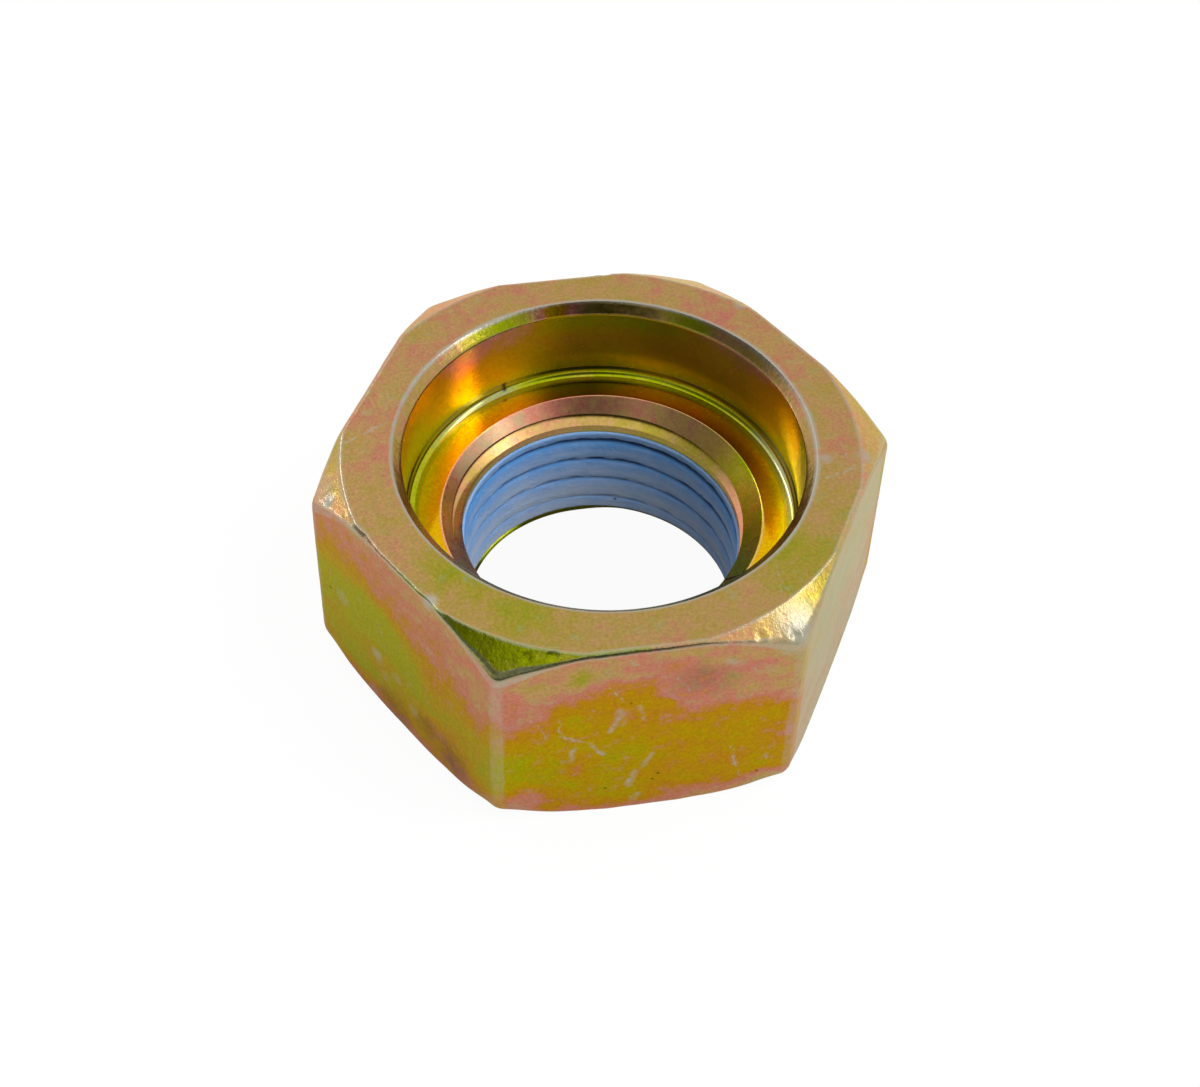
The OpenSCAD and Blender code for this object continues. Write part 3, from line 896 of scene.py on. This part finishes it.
def coat_tree():
    """Geometry Nodes that wind the coat's grooves down the bore: a flat grid is bent to the thread."""
    tree = bpy.data.node_groups.new("locking_coat_thread", "GeometryNodeTree")
    inputs = {}
    for name, default in (("Crest radius", 9.95 * MM), ("Outer radius", 10.44 * MM), ("Pitch", 2.08 * MM),
                          ("Valley depth", 0.32 * MM), ("Valley width", 0.22 * MM), ("Height", 17.6 * MM),
                          ("First groove", 7.78 * MM), ("Grain", 0.04 * MM), ("Shift", BORE_SHIFT[1]),
                          ("Seed", 3.0)):
        socket = tree.interface.new_socket(name=name, in_out="INPUT", socket_type="NodeSocketFloat")
        socket.default_value = default
        inputs[name] = socket.identifier
    socket = tree.interface.new_socket(name="Material", in_out="INPUT", socket_type="NodeSocketMaterial")
    inputs["Material"] = socket.identifier
    tree.interface.new_socket(name="Geometry", in_out="OUTPUT", socket_type="NodeSocketGeometry")
    given = tree.nodes.new("NodeGroupInput").outputs
    calc = partial(calculate, tree)

    def fade(gap, rate):
        """Falls from 1 as the gap grows."""
        return calc("POWER", 2.718, calc("MULTIPLY", gap, -rate))

    grid = add_node(tree, "GeometryNodeMeshGrid", {"Size X": 2.0 * math.pi, "Size Y": 1.0, "Vertices X": 481,
                                                   "Vertices Y": 161})
    position = tree.nodes.new("GeometryNodeInputPosition").outputs[0]
    here = add_node(tree, "ShaderNodeSeparateXYZ", {0: position}).outputs
    angle = here["X"]
    cosine, sine = calc("COSINE", angle), calc("SINE", angle)
    share = calc("ADD", here["Y"], 0.5)
    top_wave = calc("COSINE", calc("ADD", angle, COAT_TOP_TURN))
    top = calc("MULTIPLY_ADD", top_wave, COAT_TOP_SWING * MM, COAT_TOP_MEAN * MM)
    bottom = calc("SUBTRACT", given["Height"], COAT_END * MM)
    span = calc("SUBTRACT", bottom, top)
    down = calc("MINIMUM", calc("DIVIDE", share, INNER_SHARE), 1.0)
    back_up = calc("MAXIMUM", calc("DIVIDE", calc("SUBTRACT", share, INNER_SHARE), 1.0 - INNER_SHARE), 0.0)
    on_back = calc("GREATER_THAN", share, INNER_SHARE + 0.0001)
    on_front = calc("SUBTRACT", 1.0, on_back)
    inner_depth = calc("MULTIPLY_ADD", span, down, top)
    outer_depth = calc("MULTIPLY_ADD", calc("MULTIPLY", span, -1.0), back_up, bottom)
    depth = calc("MULTIPLY_ADD", outer_depth, on_back, calc("MULTIPLY", inner_depth, on_front))

    # Groove lines: how many turns below the first one each point lies, and how far from the nearest line
    turn = calc("DIVIDE", calc("SUBTRACT", math.pi / 2, angle), 2.0 * math.pi)
    groove = calc("MULTIPLY_ADD", turn, given["Pitch"], given["First groove"])
    phase = calc("DIVIDE", calc("SUBTRACT", depth, groove), given["Pitch"])
    seeded_depth = calc("MULTIPLY_ADD", depth, 900.0, given["Seed"])
    wander = add_node(tree, "ShaderNodeCombineXYZ", {0: calc("MULTIPLY", cosine, 3.0),
                                                     1: calc("MULTIPLY", sine, 3.0), 2: seeded_depth})
    rough = noise_texture(tree, wander.outputs[0], 2.2, 3.0)["Fac"]
    jitter = calc("MULTIPLY_ADD", rough, 0.07, -0.035)
    # The half turn puts each line in the middle of its turn, and the hundred turns keep the sum above zero
    from_line = calc("SUBTRACT", calc("FRACT", calc("ADD", calc("ADD", phase, jitter), 100.5)), 0.5)
    gap = calc("DIVIDE", calc("MULTIPLY", calc("ABSOLUTE", from_line), given["Pitch"]), given["Valley width"])
    level = calc("MULTIPLY_ADD", phase, -0.17, 1.06)
    uneven = calc("MULTIPLY_ADD", rough, 1.7, 0.12)
    toward_left = calc("MINIMUM", calc("MULTIPLY_ADD", cosine, 0.45, 0.95), 1.0)
    strength = calc("MAXIMUM", calc("MULTIPLY", calc("MULTIPLY", level, uneven), toward_left), 0.1)
    valley = calc("MULTIPLY", fade(gap, 1.0), strength)
    beneath = calc("MULTIPLY", calc("GREATER_THAN", from_line, 0.0), fade(gap, 0.35))

    # Radius: crest, valleys, grain, and a rounded lip at both ends
    inner_radius = calc("MULTIPLY_ADD", valley, given["Valley depth"], given["Crest radius"])
    bumpy = calc("MULTIPLY_ADD", calc("SUBTRACT", rough, 0.5), given["Grain"], inner_radius)
    near_end = calc("MINIMUM", calc("SUBTRACT", depth, top), calc("SUBTRACT", bottom, depth))
    lip = fade(calc("DIVIDE", near_end, LIP_LENGTH * MM), 1.0)
    with_lip = calc("MULTIPLY_ADD", lip, LIP_DEPTH * MM, bumpy)
    radius = calc("MULTIPLY_ADD", with_lip, on_front, calc("MULTIPLY", given["Outer radius"], on_back))
    placed = add_node(tree, "ShaderNodeCombineXYZ", {0: calc("MULTIPLY", radius, cosine),
                                                     1: calc("MULTIPLY_ADD", radius, sine, given["Shift"]),
                                                     2: calc("SUBTRACT", given["Height"], depth)}).outputs[0]
    shape = grid.outputs[0]
    for name, value in (("valley", valley), ("below_line", beneath)):
        stored = {"Geometry": shape, "Name": name, "Value": value}
        store = add_node(tree, "GeometryNodeStoreNamedAttribute", stored, domain="POINT", data_type="FLOAT")
        shape = store.outputs[0]
    bent = add_node(tree, "GeometryNodeSetPosition", {"Geometry": shape, "Position": placed}).outputs[0]
    closed = add_node(tree, "GeometryNodeMergeByDistance", {"Geometry": bent, "Distance": 1e-6}).outputs[0]
    real = add_node(tree, "GeometryNodeRealizeInstances", {"Geometry": closed}).outputs[0]
    coated = add_node(tree, "GeometryNodeSetMaterial", {"Geometry": real, "Material": given["Material"]})
    add_node(tree, "NodeGroupOutput", {0: coated.outputs[0]})
    return tree, inputs


class NUT_OT_coat(bpy.types.Operator):
    """Winds the blue locking coat down the thread."""

    bl_idname = "nut.coat"
    bl_label = "Build locking coat"

    def execute(self, context):
        sizes = context.scene.nut_sizes
        tree, inputs = coat_tree()
        maker = make_mesh_object("locking_coat_maker", [], [], context.scene.collection)
        modifier = maker.modifiers.new("thread", "NODES")
        modifier.node_group = tree
        finish = coat_finish(context.scene.nut_colours)
        for name, value in (("Crest radius", sizes.coat_radius), ("Valley depth", sizes.coat_valley),
                            ("Pitch", sizes.coat_pitch), ("Height", sizes.height), ("Material", finish)):
            modifier[inputs[name]] = value
        evaluated = maker.evaluated_get(context.evaluated_depsgraph_get())
        mesh = bpy.data.meshes.new_from_object(evaluated)
        coat = bpy.data.objects.new("locking_coat", mesh)
        context.scene.collection.objects.link(coat)
        bpy.data.objects.remove(maker)
        smooth_outward(mesh)
        if len(mesh.polygons) < 1000:
            raise RuntimeError("the coat's mesh came out empty")
        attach(coat, "root")
        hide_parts("thread_coat")
        return {"FINISHED"}


def toward_sky(azimuth, elevation):
    """Unit vector toward a place in the tent, in degrees round from +X toward +Y and above the floor."""
    around, above = math.radians(azimuth), math.radians(elevation)
    return Vector((math.cos(above) * math.cos(around), math.cos(above) * math.sin(around), math.sin(above)))


# Softboxes: name, azimuth and elevation in degrees, distance, width and height in metres, power in watts,
# lean in degrees, and whether the plated surfaces mirror them
SOFTBOXES = (
    ("right_softbox", -4.6, 49.5, 0.6, 0.064, 0.5, 0.48, 53.0, True),
    ("back_left_strip", 115.0, 43.0, 0.7, 0.08, 0.2, 0.35, 0.0, True),
    ("rim_strip", 148.0, 6.0, 0.7, 0.12, 0.05, 0.11, 0.0, True),
    ("front_fill", -38.0, 58.0, 0.6, 0.4, 0.4, 2.0, 0.0, False),
)
# Dark places in the tent: azimuth, elevation, radius of the core and of the rim in degrees, level in the core
DARK_LOBES = (
    (-86.0, 42.0, 10.0, 30.0, 0.1),
    (-128.0, 36.0, 10.0, 28.0, 0.38),
    (-176.0, 40.0, 10.0, 36.0, 0.16),
)


def add_softbox(name, azimuth, elevation, distance, width, tall, power, lean, mirrored, collection):
    """An area lamp that faces the nut from a direction given in degrees and leans over by some degrees."""
    data = bpy.data.lights.new(name, "AREA")
    data.shape = "RECTANGLE"
    data.size = width
    data.size_y = tall
    data.energy = power
    lamp = bpy.data.objects.new(name, data)
    out = toward_sky(azimuth, elevation)
    lamp.location = out * distance
    lamp.rotation_mode = "QUATERNION"
    lamp.rotation_quaternion = out.to_track_quat("Z", "Y") @ Quaternion((0.0, 0.0, 1.0), -math.radians(lean))
    lamp.visible_camera = False
    lamp.visible_glossy = mirrored
    collection.objects.link(lamp)


def build_world():
    """A white tent that is darker overhead in front, where the camera and its stand block it."""
    world = bpy.data.worlds.new("white_tent")
    world.use_nodes = True
    tree = world.node_tree
    tree.nodes.clear()
    place = add_node(tree, "ShaderNodeTexCoord").outputs["Generated"]
    level = 1.0
    for azimuth, elevation, core, rim, darkest in DARK_LOBES:
        toward = combine(tree, "DOT_PRODUCT", place, toward_sky(azimuth, elevation))
        lobe = remap(tree, toward, math.cos(math.radians(rim)), math.cos(math.radians(core)), 1.0, darkest,
                     interpolation_type="SMOOTHSTEP")
        level = calculate(tree, "MULTIPLY", level, lobe)
    seen = add_node(tree, "ShaderNodeLightPath").outputs["Is Camera Ray"]
    strength = calculate(tree, "MAXIMUM", level, seen)
    light = add_node(tree, "ShaderNodeBackground", {"Strength": strength, "Color": (1.0, 1.0, 1.0, 1.0)})
    add_node(tree, "ShaderNodeOutputWorld", {"Surface": light.outputs[0]})
    return world


def floor_finish():
    """White seamless paper. It shows white to the eye and in reflections, keeps the nut's shadow faintly, and
    carries a painted shade under the nut's thread, where the nut keeps the light off."""
    material, tree, mix = new_material("white_seamless_paper", "ShaderNodeMixShader")
    place = add_node(tree, "ShaderNodeTexCoord").outputs["Object"]
    tint = remap(tree, noise_texture(tree, place, 900.0, 3.0)["Fac"], 0.0, 1.0, 0.9, 0.94)
    # Painted shade on the paper under the nut's thread, darkest at its middle
    painted_shade = remap(tree, combine(tree, "LENGTH", place), 10.5 * MM, 16.5 * MM, 0.15, 1.0)
    paper = add_node(tree, "ShaderNodeBsdfDiffuse", {"Color": calculate(tree, "MULTIPLY", tint, painted_shade)})
    glow = add_node(tree, "ShaderNodeEmission", {"Color": (1.0, 1.0, 1.0, 1.0), "Strength": 1.0})
    path = add_node(tree, "ShaderNodeLightPath").outputs
    reflected = calculate(tree, "MAXIMUM", path["Is Glossy Ray"], path["Is Transmission Ray"])
    mirrored = calculate(tree, "MULTIPLY", reflected, 0.35)
    share = calculate(tree, "MULTIPLY_ADD", path["Is Camera Ray"], 0.95, mirrored)
    for key, socket in enumerate((share, paper.outputs[0], glow.outputs[0])):
        tree.links.new(socket, mix.inputs[key])
    return material


class NUT_OT_stage(bpy.types.Operator):
    """Sets the white floor, the lamps, the world and the camera."""

    bl_idname = "nut.stage"
    bl_label = "Set the stage"

    def execute(self, context):
        scene = context.scene
        # The floor is six metres across and lies a hair under the bearing face
        half, low = 3.0, -0.02 * MM
        corners = [(-half, -half, low), (half, -half, low), (half, half, low), (-half, half, low)]
        floor = make_mesh_object("white_floor", corners, [(0, 1, 2, 3)], scene.collection)
        floor.data.materials.append(floor_finish())
        scene.world = build_world()
        for softbox in SOFTBOXES:
            add_softbox(*softbox, scene.collection)
        camera_data = bpy.data.cameras.new("photo_camera")
        camera_data.sensor_fit = "HORIZONTAL"
        camera_data.sensor_width = 36.0
        camera_data.lens = 36.0 * CAMERA_FOCAL_PX / PHOTO_WIDTH_PX
        camera_data.clip_start = 0.01
        camera_data.clip_end = 10.0
        camera = bpy.data.objects.new("photo_camera", camera_data)
        right, up = Vector(CAMERA_RIGHT), Vector(CAMERA_UP)
        back = right.cross(up)
        turn = Matrix((right, up, back)).transposed().to_4x4()
        camera.matrix_world = Matrix.Translation(CAMERA_PLACE) @ turn
        scene.collection.objects.link(camera)
        scene.camera = camera
        scene.view_settings.view_transform = "Standard"
        return {"FINISHED"}


class NUT_PT_panel(bpy.types.Panel):
    """Lists the nut's operators, sizes and colours in the sidebar."""

    bl_idname = "NUT_PT_panel"
    bl_label = "Counterbored Nut"
    bl_space_type = "VIEW_3D"
    bl_region_type = "UI"
    bl_category = "Nut"

    def draw(self, context):
        layout = self.layout
        for operator in (NUT_OT_body, NUT_OT_coat, NUT_OT_stage):
            layout.operator(operator.bl_idname)
        for group in (context.scene.nut_sizes, context.scene.nut_colours):
            box = layout.box()
            for name in group.bl_rna.properties.keys():
                if name not in {"rna_type", "name"}:
                    box.prop(group, name)


CLASSES = (NutSizes, NutColours, NUT_OT_body, NUT_OT_coat, NUT_OT_stage, NUT_PT_panel)


def register():
    for cls in CLASSES:
        bpy.utils.register_class(cls)
    bpy.types.Scene.nut_sizes = PointerProperty(type=NutSizes)
    bpy.types.Scene.nut_colours = PointerProperty(type=NutColours)


def unregister():
    del bpy.types.Scene.nut_colours
    del bpy.types.Scene.nut_sizes
    for cls in reversed(CLASSES):
        bpy.utils.unregister_class(cls)


def main():
    """Builds everything in order."""
    register()
    bpy.ops.nut.body()
    bpy.ops.nut.coat()
    bpy.ops.nut.stage()


if __name__ == "__main__":
    main()
